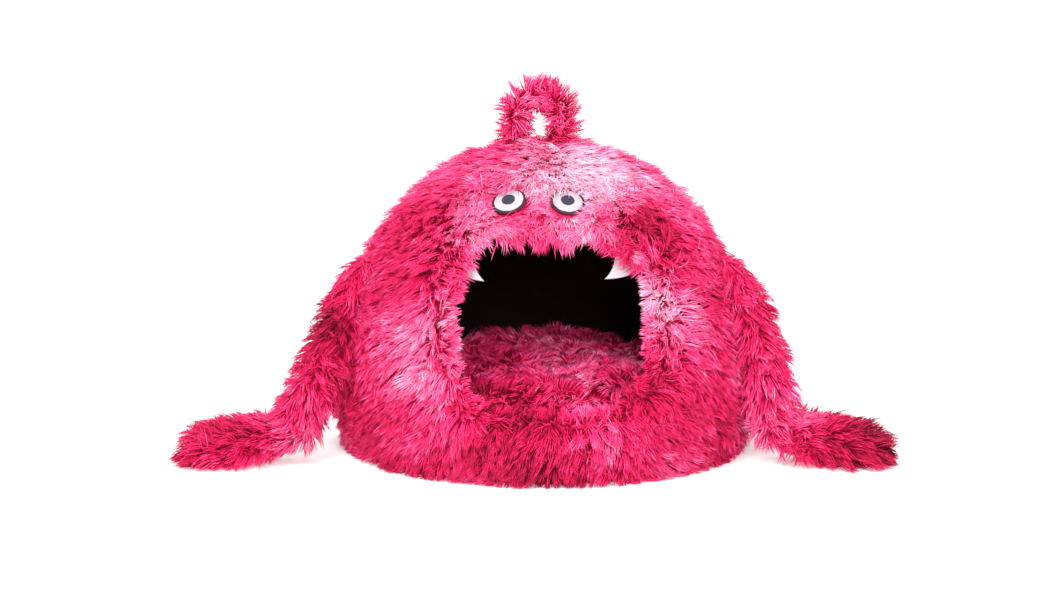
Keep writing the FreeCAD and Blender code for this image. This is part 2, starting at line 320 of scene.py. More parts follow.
dome = {
    "radius": 194.5 * mm, "rise": 223 * mm, "middle": 70 * mm, "foot": 3 * mm,
    "segments": 144, "rings": 96, "thickness": 2 * mm, "lumps": 2.2 * mm, "lumpSize": 95 * mm,
}
lining = {"inset": 21.3 * mm, "thickness": 1.4 * mm, "folds": 1.8 * mm, "foldSize": 48 * mm}
mouth = {"x": 4 * mm, "z": 149 * mm, "halfWidth": 92 * mm, "halfHeight": 82 * mm, "power": 3.4}
brow = {"halfWidth": 90 * mm, "low": 187.5 * mm, "play": 0.8 * mm, "hingeY": -60 * mm,
        "hingeZ": 291.7 * mm, "slope": math.tan(math.radians(19.6))}
lip = {"halfWidth": 60 * mm, "play": 0.8 * mm, "foot": 7 * mm}
seams = {"crown": 262 * mm, "side": -30 * mm}


def mouthReach(x, z):
    # 1 on the mouth's edge, less inside it, more outside it
    across = np.abs((x - mouth["x"]) / mouth["halfWidth"])
    up = np.abs((z - mouth["z"]) / mouth["halfHeight"])
    return (across ** mouth["power"] + up ** mouth["power"]) ** (1 / mouth["power"])


def onDomeFront(points, inset=0.0):
    # moves points in y only, so that they lie on the front of the dome
    rise = (points[:, 2] - dome["middle"]) / (dome["rise"] - inset)
    ring = (dome["radius"] - inset) ** 2 * np.clip(1 - rise ** 2, 0, 1)
    points[:, 1] = -np.sqrt(np.clip(ring - points[:, 0] ** 2, 0, None))
    return points


def makeDomeSurface(name, inset, lumps, lumpSize, seed):
    bpy.ops.mesh.primitive_uv_sphere_add(segments=dome["segments"], ring_count=dome["rings"], radius=1,
                                         location=(0, 0, dome["middle"]))
    wide, high = dome["radius"] - inset, dome["rise"] - inset
    bpy.context.object.scale = (wide, wide, high)
    surface = newPiece(name)
    bisectAt(surface, (0, 0, dome["foot"]), (0, 0, -1), dropAbove=True)
    # open the mouth, and draw the hole's edge out to its true line
    centres = faceCentres(surface)
    dropFaces(surface, (centres[:, 1] < 0) & (mouthReach(centres[:, 0], centres[:, 2]) < 0.985))
    points = readPoints(surface)
    reach = mouthReach(points[:, 0], points[:, 2])
    inside = (points[:, 1] < 0) & (reach < 1.0)
    middle = np.array([mouth["x"], 0, mouth["z"]])
    points[inside] = onDomeFront(middle + (points[inside] - middle) / reach[inside][:, None], inset)
    points += readNormals(surface) * (np.clip(softNoise(points, lumpSize, seed), -1.2, 1.2) * lumps)[:, None]
    writePoints(surface, points)
    return surface


def cutPanel(surface, name, planes, keep):
    panel = copyPiece(surface, name)
    for point, normal in planes:
        bisectAt(panel, point, normal)
    dropFaces(panel, ~keep(faceCentres(panel)))
    return panel


def inBrow(centres, grow):
    x, y, z = centres.T
    back = brow["hingeY"] + brow["slope"] * (brow["hingeZ"] - z) + max(grow, 0)
    return (np.abs(x - mouth["x"]) < brow["halfWidth"] + grow) & (z > brow["low"]) & (y < back)


def inLip(centres, grow):
    x, y, z = centres.T
    return (np.abs(x - mouth["x"]) < lip["halfWidth"] + grow) & (z < mouth["z"] - 40 * mm) & (y < -100 * mm)


def sidePlanes(halfWidth):
    return [((mouth["x"] + side * halfWidth, 0, 0), (1, 0, 0)) for side in (-1, 1)]


def browPlanes(grow):
    return sidePlanes(brow["halfWidth"] + grow) + [
        ((0, brow["hingeY"] + max(grow, 0), brow["hingeZ"]), (0, 1, brow["slope"])),
        ((0, 0, brow["low"]), (0, 0, 1))]


def fixedPanel(surface, name, keep):
    planes = browPlanes(brow["play"]) + sidePlanes(lip["halfWidth"] + lip["play"]) + [
        ((0, 0, seams["crown"]), (0, 0, 1)), ((0, seams["side"], 0), (0, 1, 0)), ((0, 0, 0), (1, 0, 0))]

    def outside(centres):
        moving = inBrow(centres, brow["play"]) | inLip(centres, lip["play"])
        return keep(*centres.T) & ~moving
    return cutPanel(surface, name, planes, outside)


def makePanels(surface):
    crownZ, sideY = seams["crown"], seams["side"]
    panels = {
        "brow": cutPanel(surface, "browCover", browPlanes(-brow["play"]),
                         lambda centres: inBrow(centres, -brow["play"])),
        "lip": cutPanel(surface, "lipCover", sidePlanes(lip["halfWidth"] - lip["play"])
                        + [((0, 0, lip["foot"]), (0, 0, 1))],
                        lambda centres: inLip(centres, -lip["play"]) & (centres[:, 2] > lip["foot"])),
        "crown": fixedPanel(surface, "crownCover", lambda x, y, z: z > crownZ),
        "cheek_left": fixedPanel(surface, "cheekLeftCover",
                                 lambda x, y, z: (z < crownZ) & (y < sideY) & (x < mouth["x"])),
        "cheek_right": fixedPanel(surface, "cheekRightCover",
                                  lambda x, y, z: (z < crownZ) & (y < sideY) & (x > mouth["x"])),
        "back_left": fixedPanel(surface, "backLeftCover",
                                lambda x, y, z: (z < crownZ) & (y > sideY) & (x < 0)),
        "back_right": fixedPanel(surface, "backRightCover",
                                 lambda x, y, z: (z < crownZ) & (y > sideY) & (x > 0)),
    }
    return panels


# long pile: every hair is a closed, tapered, bent sliver

eyes = {
    "left": {"x": -35 * mm}, "right": {"x": 19.5 * mm}, "height": 254 * mm,
    "bare": 15 * mm, "bareUp": 2.2 * mm, "parting": 34 * mm,
}
toneSpots = [  # x, y, z, reach in mm, and how much paler (+) or deeper (-) the pile is there
    (10, -70, 298, 66, 3.0), (48, -95, 266, 36, 1.6), (-62, -112, 236, 40, 1.8), (-105, -150, 130, 36, 1.7),
    (108, -140, 170, 42, 0.7), (150, -90, 205, 40, 0.2), (-140, -60, 60, 50, 0.1), (178, -60, 120, 40, 0.7),
    (60, -175, 40, 38, 0.2), (-95, -85, 258, 40, -0.9), (92, -112, 228, 34, -1.6), (-130, -120, 40, 60, -1.3),
    (150, -130, 60, 50, -1.3), (-58, -160, 214, 26, 1.2),
    (0, -190, 20, 60, -1.3), (-150, -90, 190, 40, -0.9), (130, 0, 250, 60, 0.8), (-130, -120, 190, 40, -0.5),
    (-100, 120, 200, 70, 1.0), (60, 170, 120, 70, 1.2), (-60, 160, 70, 60, -1.0), (160, 90, 190, 60, -1.0),
    (230, -98, 60, 45, 0.0), (310, -100, 20, 60, -1.8), (-300, -100, 20, 55, 0.5), (-345, -100, 20, 35, -0.6),
    (-205, -80, 120, 40, -0.8), (205, -80, 120, 40, -0.4), (0, -150, 5, 90, -0.5), (-190, 0, 30, 60, -0.8),
    (190, 0, 20, 60, -0.5),
]


def eyeCentre(side):
    x, z = eyes[side]["x"], eyes["height"]
    return onDomeFront(np.array([[x, 0.0, z]]))[0]


def domeNormals(points):
    stretch = np.array([dome["radius"], dome["radius"], dome["rise"]]) ** 2
    return unit((points - np.array([0, 0, dome["middle"]])) / stretch)


def toneField(points):
    tone = 2.75 + 1.0 * softNoise(points, 120 * mm, 5) + 0.5 * softNoise(points, 45 * mm, 6)
    for x, y, z, reach, change in toneSpots:
        away = np.linalg.norm(points - np.array([x, y, z]) * mm, axis=1) / (reach * mm)
        tone += change * np.exp(-away ** 2)
    return tone


def plantRoots(skin, density, draw, bare=None, crowd=None):
    skin.data.calc_loop_triangles()
    corners = np.empty(len(skin.data.loop_triangles) * 3, dtype=np.int64)
    skin.data.loop_triangles.foreach_get("vertices", corners)
    corners = corners.reshape(-1, 3)
    points, normals = readPoints(skin), readNormals(skin)
    a, b, c = (points[corners[:, i]] for i in range(3))
    areas = 0.5 * np.linalg.norm(np.cross(b - a, c - a), axis=1)
    if crowd is not None:
        areas *= crowd((a + b + c) / 3)
    count = int(areas.sum() / mm ** 2 * density)
    steps = (np.arange(count) + draw.random(count)) / count
    chosen = np.minimum(np.searchsorted(np.cumsum(areas) / areas.sum(), steps), len(areas) - 1)
    u, v = draw.random(count), draw.random(count)
    flip = u + v > 1
    u[flip], v[flip] = 1 - u[flip], 1 - v[flip]
    shares = np.stack([1 - u - v, u, v], axis=1)[:, :, None]
    roots = (points[corners[chosen]] * shares).sum(axis=1)
    out = unit((normals[corners[chosen]] * shares).sum(axis=1))
    if bare is not None:
        stay = ~bare(roots)
        roots, out = roots[stay], out[stay]
    return roots, out


def gatherTufts(roots, draw, perTuft):
    # which tuft each hair leans into
    leaders = draw.choice(len(roots), max(1, len(roots) // perTuft), replace=False)
    tree = kdtree.KDTree(len(leaders))
    for index, leader in enumerate(leaders):
        tree.insert(roots[leader], index)
    tree.balance()
    member = np.array([tree.find(root)[1] for root in roots])
    return leaders, member


total = {"triangles": 0}


def growPile(name, skin, comb, pile, seed, bare=None, crowd=None):
    draw = np.random.default_rng(seed)
    roots, out = plantRoots(skin, pile["density"] * (1), draw, bare, crowd)
    count = len(roots)
    lean, lift, stature, droop = comb(roots, out)
    leaders, member = gatherTufts(roots, draw, pile["perTuft"])
    lift = np.clip(lift + draw.normal(size=len(leaders))[member] * pile["tousle"], 0.12, 0.97)
    tuftWay = draw.normal(size=(len(leaders), 3)) * pile["stray"]
    tuftLength = draw.uniform(0.78, 1.15, len(leaders))
    way = lean + tuftWay[member] + draw.normal(size=(count, 3)) * pile["stray"] * 0.55
    way = unit(way - out * (way * out).sum(axis=1, keepdims=True))
    length = pile["length"] * stature * tuftLength[member] * draw.uniform(0.82, 1.1, count)
    start = unit(out * lift[:, None] + way * (1 - lift[:, None]))
    low = np.array([0, 0, -1.0])
    finish = unit(out * (lift * 0.5)[:, None] + way * 0.8 + low * (pile["droop"] * droop)[:, None])

    def along(t):
        return roots + length[:, None] * (start * (t - t * t / 2) + finish * (t * t / 2))

    steps = pile["steps"]
    spine = np.stack([along(t) for t in steps + [1.0]], axis=1)
    # hairs of one tuft draw together towards its tip
    tuftSpine = spine[leaders][member]
    pull = np.array([pile["gather"] * t ** 1.6 for t in steps + [1.0]])[None, :, None]
    spine = spine + (tuftSpine - spine) * pull * draw.uniform(0.5, 1.0, (count, 1, 1))
    floor = (0.6 + draw.random((count, 1)) * 2.5) * mm
    spine[:, 1:, 2] = np.maximum(spine[:, 1:, 2], floor)
    if pile.get("keepOut"):
        spine = pile["keepOut"](spine)
    tone = toneField(roots) + draw.normal(size=len(leaders))[member] * 0.3 + draw.normal(size=count) * 0.5
    # the lowered tone along the side seams is painted seam shadow
    tone += pile.get("tone", 0) - seamPartingAndPaintedShade(roots)
    # no piece holds more than 195,000 triangles, so a big panel's pile is made as an upper and a lower part
    trianglesEach = 6 * len(steps) - 2
    parts = math.ceil(count * trianglesEach / 195000)
    order = np.argsort(-roots[:, 2])
    pieces = []
    for number, chosen in enumerate(np.array_split(order, parts)):
        title = name if parts == 1 else name + "ABCDEF"[number]
        pieces.append(buildHairs(title, spine[chosen], out[chosen], tone[chosen], pile, draw))
    return pieces


def buildHairs(name, spine, out, tone, pile, draw):
    count, rings = spine.shape[0], spine.shape[1] - 1
    forward = unit((spine[:, -1] - spine[:, 0]))
    side = unit(np.cross(forward, out) + 1e-6)
    back = unit(np.cross(side, forward))
    width = pile["width"] * draw.uniform(0.75, 1.25, count) * 0.5
    taper = [1 - 0.75 * t ** 1.5 for t in pile["steps"]]
    ring = np.array([(1.0, 0.0), (-1.0, 0.0), (0.0, 0.85)])
    points = np.empty((count, rings * 3 + 1, 3))
    for level in range(rings):
        for corner, (across, deep) in enumerate(ring):
            size = (width * taper[level])[:, None]
            points[:, level * 3 + corner] = spine[:, level] + side * across * size + back * deep * size
    points[:, -1] = spine[:, -1]
    faces, bands = [(0, 2, 1)], [0]
    for level in range(rings - 1):
        for corner in range(3):
            a, b = level * 3 + corner, level * 3 + (corner + 1) % 3
            faces += [(a, b, b + 3), (a, b + 3, a + 3)]
            bands += [level] * 2
    last = (rings - 1) * 3
    faces += [(last + corner, last + (corner + 1) % 3, rings * 3) for corner in range(3)]
    bands += [rings - 1] * 3
    faces, bands = np.array(faces), np.array(bands)
    allFaces = (faces[None] + (np.arange(count) * (rings * 3 + 1))[:, None, None]).reshape(-1)
    shades = tone[:, None] + np.array(pile["bands"])[bands][None]
    shades = np.clip(np.round(shades), 0, len(pileMaterials) - 1).astype(np.int32).ravel()
    mesh = bpy.data.meshes.new(name)
    mesh.vertices.add(count * (rings * 3 + 1))
    mesh.vertices.foreach_set("co", points.ravel())
    mesh.loops.add(len(allFaces))
    mesh.loops.foreach_set("vertex_index", allFaces.astype(np.int32))
    mesh.polygons.add(len(allFaces) // 3)
    mesh.polygons.foreach_set("loop_start", np.arange(0, len(allFaces), 3, dtype=np.int32))
    mesh.polygons.foreach_set("material_index", shades)
    mesh.polygons.foreach_set("use_smooth", np.ones(len(allFaces) // 3, dtype=bool))
    for material in pileMaterials:
        mesh.materials.append(material)
    mesh.update(calc_edges=True)
    hairs = bpy.data.objects.new(name, mesh)
    bpy.context.scene.collection.objects.link(hairs)
    print(name, count, "hairs", len(allFaces) // 3, "triangles")
    total["triangles"] += len(allFaces) // 3
    return hairs


longPile = {"density": 0.34, "length": 30 * mm, "width": 1.35 * mm, "perTuft": 9, "gather": 0.7,
            "stray": 0.5, "tousle": 0.1, "droop": 0.24, "steps": [0.0, 0.38, 0.72],
            "bands": [-0.2, 0.0, 0.5]}
smoothPile = dict(longPile, gather=0.36)
backPile = dict(longPile, density=0.2, width=1.8 * mm, steps=[0.0, 0.5], bands=[-0.3, 0.5])
pileOf = {"brow": smoothPile, "crown": smoothPile, "back_left": backPile, "back_right": backPile}


def seamPartingAndPaintedShade(roots):
    # along the side seams the pile parts and stands shorter, and its tone is lowered there as painted shade of the
    # seam's shadow
    away = (roots[:, 1] - seams["side"]) / (7 * mm)
    onDome = np.linalg.norm(roots[:, :2], axis=1) < dome["radius"] * 1.02
    return np.exp(-away ** 2) * onDome * ease(20 * mm, 60 * mm, roots[:, 2]) * ease(250 * mm, 200 * mm, roots[:, 2])


def combDome(roots, out):
    x, y, z = roots.T
    down = np.array([0, 0, -1.0]) - out * (-out[:, 2])[:, None]
    lean = unit(down + 1e-4)
    sway = np.stack([softNoise(roots, 110 * mm, seed) for seed in (21, 22, 23)], axis=1)
    sideways = np.stack([np.sign(x - mouth["x"]), np.zeros(len(x)), np.zeros(len(x))], axis=1)
    front = ease(0, -60 * mm, y)
    lean = lean + sway * 0.6 + sideways * (0.55 * front * ease(250 * mm, 180 * mm, z))[:, None]
    flank = ease(110 * mm, 170 * mm, np.abs(x)) * ease(190 * mm, 120 * mm, z)
    lift = 0.8 - ease(235 * mm, 280 * mm, z) * (0.14 + 0.1 * front) + 0.08 * flank
    stature = 1 - 0.15 * ease(60 * mm, 10 * mm, z) - 0.4 * seamPartingAndPaintedShade(roots)
    # round the mouth the hairs turn into the opening: they hang over its top, point in from its
    # sides, and stand up along its lower edge
    reach = mouthReach(x, z)
    rim = front * ease(1.34, 1.04, reach)
    edge = front * ease(1.16, 1.01, reach)
    inward = unit(np.stack([mouth["x"] - x, np.zeros(len(x)), (mouth["z"] - z) * 0.8], axis=1))
    under = ease(mouth["z"] - 30 * mm, mouth["z"] - 66 * mm, z)
    over = ease(mouth["z"] + 25 * mm, mouth["z"] + 62 * mm, z)
    side = (1 - over) * (1 - under)
    turn = rim * (1 - under) + edge * under
    lean = lean * (1 - turn)[:, None] + inward * (1.6 * turn)[:, None]
    corner = over * (ease(45 * mm, 68 * mm, x - mouth["x"]) - 0.5 * ease(45 * mm, 68 * mm, mouth["x"] - x))
    lift = lift - edge * (0.42 + 0.16 * corner) + 0.1 * (rim - edge) * under
    lock = over * np.exp(-((mouth["x"] - 42 * mm - x) / (16 * mm)) ** 2)
    stature = stature * (1 + edge * (0.3 * corner + 0.1 * over + 0.25 * lock - 0.3 * side - 0.45 * under))
    droop = 1 - edge * under
    # and round each eye they part, so that it shows
    for eye in ("left", "right"):
        centre = eyeCentre(eye)
        away = roots - centre
        distance = np.linalg.norm(away, axis=1)
        part = ease(eyes["parting"], eyes["bare"], distance)
        lean = lean * (1 - part)[:, None] + unit(away) * (2.2 * part)[:, None]
        lift = lift - 0.36 * part
        stature = stature * (1 - 0.45 * part)
    return lean, lift, stature, droop


def sinkUnderEyes(surface):
    points = readPoints(surface)
    for eye in ("left", "right"):
        away = np.linalg.norm(points - eyeCentre(eye), axis=1)
        points -= domeNormals(points) * (ease(27 * mm, 18 * mm, away) * 2.8 * mm)[:, None]
    writePoints(surface, points)


def crowdDome(places):
    # the fringe round the mouth is thick, and so is the forehead, where gaps would show dark
    x, y, z = places.T
    front = ease(10 * mm, -60 * mm, y)
    return 1 + 1.3 * (y < -60 * mm) * ease(1.13, 1.02, mouthReach(x, z)) + 0.6 * front * ease(225 * mm, 255 * mm, z)


def underEyes(roots):
    hidden = np.zeros(len(roots), dtype=bool)
    for eye in ("left", "right"):
        # a little more above the eye than below it, because the pile falls down over it
        bare = eyeCentre(eye) + np.array([0, 0, eyes["bareUp"]])
        hidden |= np.linalg.norm(roots - bare, axis=1) < eyes["bare"]
    return hidden


surface = makeDomeSurface("domeSurface", 0, dome["lumps"], dome["lumpSize"], 11)
sinkUnderEyes(surface)
panels = makePanels(surface)
bpy.data.objects.remove(surface)
for number, (name, panel) in enumerate(panels.items()):
    body = name if name in ("brow", "lip") else "hood"
    hairs = growPile(panel.name.replace("Cover", "Pile"), panel, combDome, pileOf.get(name, longPile),
                     100 + number, underEyes if name == "brow" else None, crowdDome)
    modify(panel, "SOLIDIFY", thickness=dome["thickness"], offset=-1)
    smoothShade(panel)
    dress(panel, "backing")
    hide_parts(name + "_cover")
    for piece in [panel] + hairs:
        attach(piece, body)
print("dome covered")


# the dark lining, softly folded

def makeLining():
    inner = makeDomeSurface("liningSurface", lining["inset"], lining["folds"], lining["foldSize"], 31)
    planes = browPlanes(-brow["play"]) + browPlanes(brow["play"])[2:3]
    pieces = {
        "brow": cutPanel(inner, "browLining", planes, lambda centres: inBrow(centres, -brow["play"])),
        "lip": cutPanel(inner, "lipLining", sidePlanes(lip["halfWidth"] - lip["play"])
                        + [((0, 0, lip["foot"]), (0, 0, 1))],
                        lambda centres: inLip(centres, -lip["play"]) & (centres[:, 2] > lip["foot"])),
        "hood": cutPanel(inner, "hoodLining", browPlanes(brow["play"])
                         + sidePlanes(lip["halfWidth"] + lip["play"]),
                         lambda centres: ~(inBrow(centres, brow["play"]) | inLip(centres, lip["play"]))),
    }
    bpy.data.objects.remove(inner)
    for body, piece in pieces.items():
        modify(piece, "SOLIDIFY", thickness=lining["thickness"], offset=-1)
        smoothShade(piece)
        dress(piece, "lining")
        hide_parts(body + "_lining")
        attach(piece, body)


makeLining()
print("lining in")


# binding: tape folded over the mouth's edge, puckered where it was sewn round the curve

binding = {"voxel": 1.4 * mm, "smooth": 3, "pucker": 0.55 * mm, "puckerSize": 9 * mm}


def makeBinding(node, body):
    tape = copyPiece(nodes[node + "_binding"], node.replace("_l", "L").replace("_r", "R") + "Binding")
    mergePoints(tape)
    modify(tape, "REMESH", mode="VOXEL", voxel_size=binding["voxel"])
    modify(tape, "SMOOTH", factor=0.5, iterations=binding["smooth"])
    points = readPoints(tape)
    puckers = softNoise(points, binding["puckerSize"], 91)
    writePoints(tape, points + readNormals(tape) * (puckers * binding["pucker"])[:, None])
    smoothShade(tape)
    dress(tape, "binding")
    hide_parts(node + "_binding")
    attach(tape, body)


for node, body in (("brow", "brow"), ("lip", "lip"), ("cheek_left", "hood"), ("cheek_right", "hood")):
    makeBinding(node, body)
print("mouth bound")


# eyes and fangs, cut from felt

eyeDiscs = {"outline": (16.5 * mm, 1.2 * mm), "white": (14.2 * mm, 0.9 * mm), "pupil": (6.4 * mm, 0.9 * mm)}
feltEdge = {"round": 0.35 * mm, "waver": 0.22 * mm, "crown": 190 * mm}


def makeEyeDisc(side, layer):
    radius, depth = eyeDiscs[layer]
    node = "eye_" + side + "_" + layer
    low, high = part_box(node)
    centre = np.array((low + high) / 2)
    bpy.ops.mesh.primitive_cylinder_add(vertices=72, radius=radius, depth=depth, end_fill_type="NGON")
    disc = newPiece("eye" + side.capitalize() + layer.capitalize())
    makeActive(disc)
    bpy.ops.object.mode_set(mode="EDIT")
    bpy.ops.mesh.select_mode(type="FACE")
    bpy.ops.mesh.select_all(action="DESELECT")
    bpy.ops.object.mode_set(mode="OBJECT")
    for face in disc.data.polygons:
        face.select = abs(face.normal.z) > 0.9
    bpy.ops.object.mode_set(mode="EDIT")
    for step in range(4):
        bpy.ops.mesh.inset(thickness=radius * 0.21, use_individual=True)
    bpy.ops.object.mode_set(mode="OBJECT")
    modify(disc, "BEVEL", width=feltEdge["round"], segments=3, limit_method="ANGLE", angle_limit=math.radians(50))
    # the disc follows the dome, and its cut edge wavers a little
    points = readPoints(disc)
    across = np.linalg.norm(points[:, :2], axis=1)
    waver = softNoise(points + centre, 9 * mm, 41) * feltEdge["waver"] * (across / radius) ** 4
    points[:, :2] *= (1 + waver / np.maximum(across, radius * 0.1))[:, None]
    points[:, 2] += -across ** 2 / (2 * feltEdge["crown"]) + softNoise(points + centre, 7 * mm, 42) * 0.12 * mm
    out = Vector(domeNormals(centre[None])[0])
    turn = out.to_track_quat("Z", "Y").to_matrix()
    writePoints(disc, points @ np.array(turn).T + centre)
    smoothShade(disc, 40)
    dress(disc, layer)
    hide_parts(node)
    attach(disc, "brow")


felt = {"voxel": 0.45 * mm, "smooth": 5, "uneven": 0.25 * mm, "curl": 2.0 * mm, "long": 30 * mm}


def makeFang(side):
    # soft felt, a little uneven, whose tip bends forwards from the sewn edge
    fang = copyPiece(nodes["fang_" + side], "fang" + side.capitalize())
    mergePoints(fang)
    modify(fang, "REMESH", mode="VOXEL", voxel_size=felt["voxel"])
    modify(fang, "SMOOTH", factor=0.5, iterations=felt["smooth"])
    points = readPoints(fang)
    hinge = joints[side + "_fang_flap"]
    fromRoot = points - np.array(hinge["pos_m"])
    axis = unit(np.array(hinge["axis"])[None])[0]
    away = np.linalg.norm(fromRoot - (fromRoot @ axis)[:, None] * axis, axis=1) / felt["long"]
    points[:, 1] -= felt["curl"] * away ** 2 - softNoise(points, 11 * mm, 43) * felt["uneven"]
    writePoints(fang, points)
    smoothShade(fang)
    dress(fang, "white")
    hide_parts("fang_" + side)
    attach(fang, side + "_fang")


for side in ("left", "right"):
    for layer in eyeDiscs:
        makeEyeDisc(side, layer)
    makeFang(side)
print("felt cut")


# arms: a limp plush tube with a full, flattened hand

arm = {"voxel": 3.5 * mm, "wrist": 11.5 * mm, "link": 10.5 * mm, "linkReach": 15 * mm, "smooth": 12,
       "full": 4.5 * mm, "top": 182 * mm}
armPile = dict(longPile, density=0.30, length=28 * mm, perTuft=8, stray=0.42, droop=0.3,
               tone=-0.3)


def makeArm(side):
    sign = 1 if side == "right" else -1
    wrist = np.array(joints[side + "_wrist_bend"]["pos_m"])
    shoulder = np.array(joints[side + "_shoulder_raise"]["pos_m"])
    up = unit((shoulder - wrist)[None])[0]
    parts = []
    for form in ("arm_filling_", "hand_filling_"):
        parts.append(copyPiece(nodes[form + side], form + side + "_copy"))
        mergePoints(parts[-1])
    for place, radius in ((wrist, arm["wrist"]), (wrist + up * arm["linkReach"], arm["link"])):
        bpy.ops.mesh.primitive_uv_sphere_add(segments=24, ring_count=16, radius=radius, location=place)
        parts.append(newPiece("wristBall"))
    skin = joinPieces(parts, "arm" + side.capitalize())
    modify(skin, "REMESH", mode="VOXEL", voxel_size=arm["voxel"])
    modify(skin, "SMOOTH", factor=0.5, iterations=arm["smooth"])
    points = readPoints(skin)
    points += readNormals(skin) * (arm["full"] + softNoise(points, 38 * mm, 51) * 1.2 * mm)[:, None]
    points[:, 2] -= np.maximum(points[:, 2] - arm["top"], 0) * 0.55
    points[:, 2] = np.maximum(points[:, 2], 1 * mm)
    points[:, 0] -= sign * 8 * mm * ease(110 * mm, 175 * mm, points[:, 2])
    writePoints(skin, points)
    smoothShade(skin)

    def combArm(roots, out):
        onHand = ease(58 * mm, 30 * mm, roots[:, 2])[:, None]
        way = -up[None] * (1 - onHand) + np.array([[sign, -0.15, 0.0]]) * onHand
        sway = np.stack([softNoise(roots, 60 * mm, seed) for seed in (61, 62, 63)], axis=1)
        # the sleeve's sewn end is lost in the dome's pile, and the pile under the hand is pressed flat
        top = ease(160 * mm, 195 * mm, roots[:, 2])
        under = ease(-0.3, -0.9, out[:, 2]) * onHand[:, 0]
        lift = 0.74 + 0.1 * softNoise(roots, 50 * mm, 64) - 0.45 * top - 0.3 * under
        return way + sway * 0.45, lift, 1 - 0.35 * under - 0.3 * top, np.ones(len(roots))
    hairs = growPile("arm" + side.capitalize() + "Pile", skin, combArm, armPile, 200 + sign)
    dress(skin, "backing")
    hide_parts(*[name + "_" + side for name in
                        ("arm_sleeve", "arm_filling", "hand_sleeve", "hand_filling")])
    for piece in [skin] + hairs:
        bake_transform(piece)


for side in ("left", "right"):
    makeArm(side)
print("arms on")


# carrying loop

loop = {"x": -7 * mm, "arch": 21 * mm, "middle": 326 * mm, "foot": 306 * mm, "radius": 5.5 * mm}
loopPile = dict(longPile, density=0.5, length=26 * mm, width=1.3 * mm, perTuft=7, stray=0.5, droop=0.1,
                tone=-1.0)


def makeLoop():
    bpy.ops.mesh.primitive_torus_add(major_radius=loop["arch"], minor_radius=loop["radius"],
                                     major_segments=56, minor_segments=20,
                                     location=(loop["x"], 0, loop["middle"]), rotation=(math.radians(90), 0, 0))
    sleeve = newPiece("carryLoop")
    bisectAt(sleeve, (0, 0, loop["middle"]), (0, 0, -1), dropAbove=True)
    makeActive(sleeve)
    bpy.ops.object.mode_set(mode="EDIT")
    bpy.ops.mesh.select_mode(type="EDGE")
    bpy.ops.mesh.select_all(action="DESELECT")
    bpy.ops.mesh.select_non_manifold()
    for step in range(4):
        bpy.ops.mesh.extrude_edges_move(TRANSFORM_OT_translate={"value": (0, 0, (loop["foot"] - loop["middle"]) / 4)})
    bpy.ops.mesh.edge_face_add()
    bpy.ops.mesh.select_all(action="SELECT")
    bpy.ops.mesh.normals_make_consistent(inside=False)
    bpy.ops.object.mode_set(mode="OBJECT")
    smoothShade(sleeve, 60)
    arch = np.array([loop["x"], 0, loop["middle"]])

    def combLoop(roots, out):
        sway = np.stack([softNoise(roots, 24 * mm, seed) for seed in (71, 72, 73)], axis=1)
        inward = np.clip(unit(arch - roots) * out, -1, 1).sum(axis=1)
        hole = ease(0.15, 0.8, inward)
        return sway + np.array([[0, -0.3, 0.35]]), 0.85 - 0.1 * hole, 1 - 0.42 * hole, hole
    hairs = growPile("carryLoopPile", sleeve, combLoop, loopPile, 301)
    dress(sleeve, "backing")
    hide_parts("loop_sleeve")
    for piece in [sleeve] + hairs:
        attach(piece, "loop")


makeLoop()
print("loop sewn")


# loose cushion

cushion = {"radius": 157 * mm, "low": 23 * mm, "high": 66 * mm, "lumps": 4.5 * mm, "rise": 7 * mm,
           "voxel": 6 * mm, "pressure": 4.0, "most": 9 * mm, "piping": 2.4 * mm}
cushionPile = dict(longPile, density=0.16, width=1.8 * mm, length=23 * mm, perTuft=12, stray=0.6,
                   droop=0.1, steps=[0.0, 0.5], bands=[-0.6, 0.5], tone=0.15)


def puffUp(pad, voxel, pressure, frames, most):
    # the pad is blown up from inside, and no point may go further than most
    modify(pad, "REMESH", mode="VOXEL", voxel_size=voxel)
    flat = readPoints(pad)
    makeActive(pad)
    cloth = pad.modifiers.new("cloth", "CLOTH")
    cloth.settings.use_pressure = True
    cloth.settings.uniform_pressure_force = pressure
    cloth.settings.effector_weights.gravity = 0
    scene = bpy.context.scene
    for step in range(1, frames + 1):
        scene.frame_set(step)
    depsgraph = bpy.context.evaluated_depsgraph_get()
    puffed = np.empty(len(flat) * 3)
    pad.evaluated_get(depsgraph).data.vertices.foreach_get("co", puffed)
    pad.modifiers.remove(cloth)
    scene.frame_set(1)
    move = puffed.reshape(-1, 3) - flat
    far = np.linalg.norm(move, axis=1, keepdims=True)
    writePoints(pad, flat + move * np.minimum(1, most / np.maximum(far, 1e-9)))


